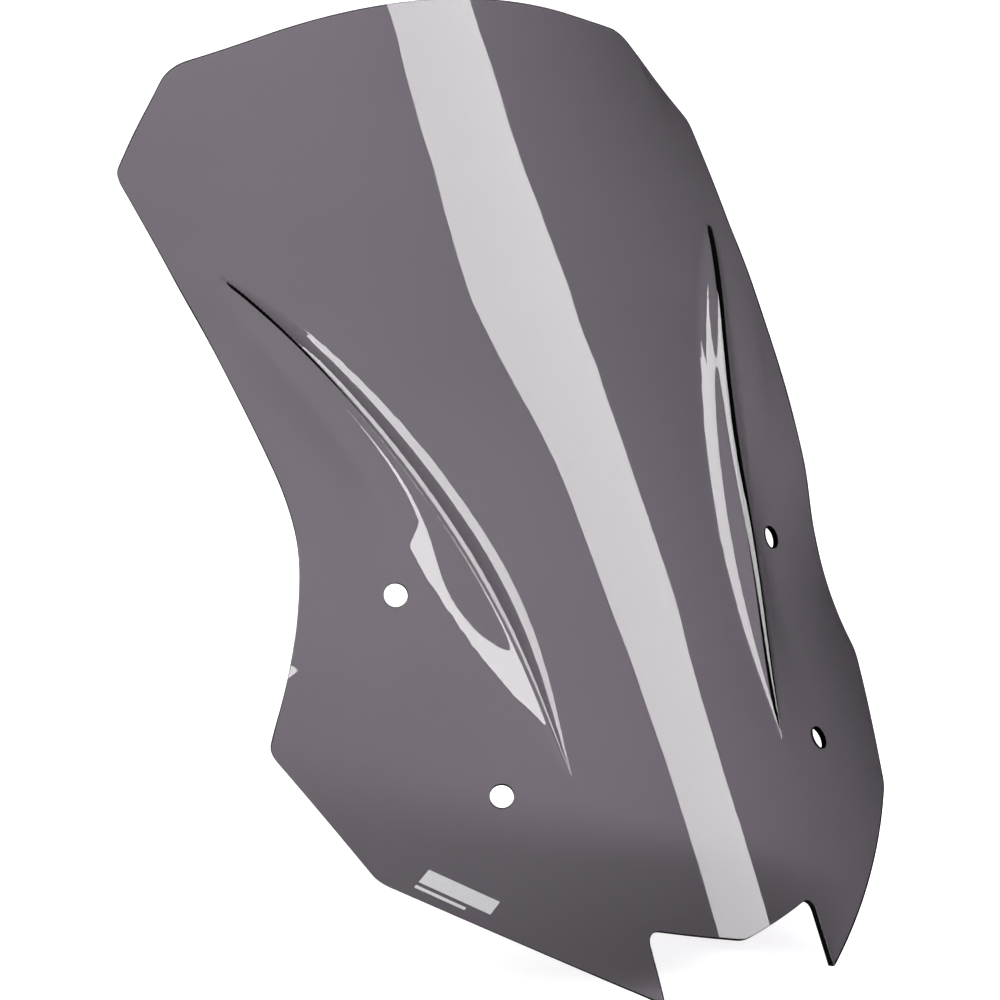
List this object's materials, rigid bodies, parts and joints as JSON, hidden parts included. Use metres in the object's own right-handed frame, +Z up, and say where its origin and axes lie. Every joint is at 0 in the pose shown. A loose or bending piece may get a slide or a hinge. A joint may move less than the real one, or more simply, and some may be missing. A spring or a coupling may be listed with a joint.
{
  "type": "motorcycle windshield screen",
  "caption": "Smoke-tinted formed acrylic motorcycle windshield with flared lower wings, two crescent stiffening ridges and plain round mounting holes.",
  "frame": {"origin": "middle of the four mounting holes: on the centre plane, half way between the upper and the lower pair, within about 1 mm of the mean depth of the front face at the holes", "axes": "+X towards one side, square to the centre plane; +Y back, towards the rider; +Z up; the sheet leans back about 33 degrees from +Z, as fitted"},
  "size_m": [0.3356, 0.3021, 0.4235],
  "materials": {
    "smoked_acrylic": "polished, tinted through, transparent",
    "silver_print": "satin silver screen print"
  },
  "bodies": {
    "root": {"panel": "smoked_acrylic", "mark_bar": "silver_print", "mark_line": "silver_print"}
  },
  "joints": []
}
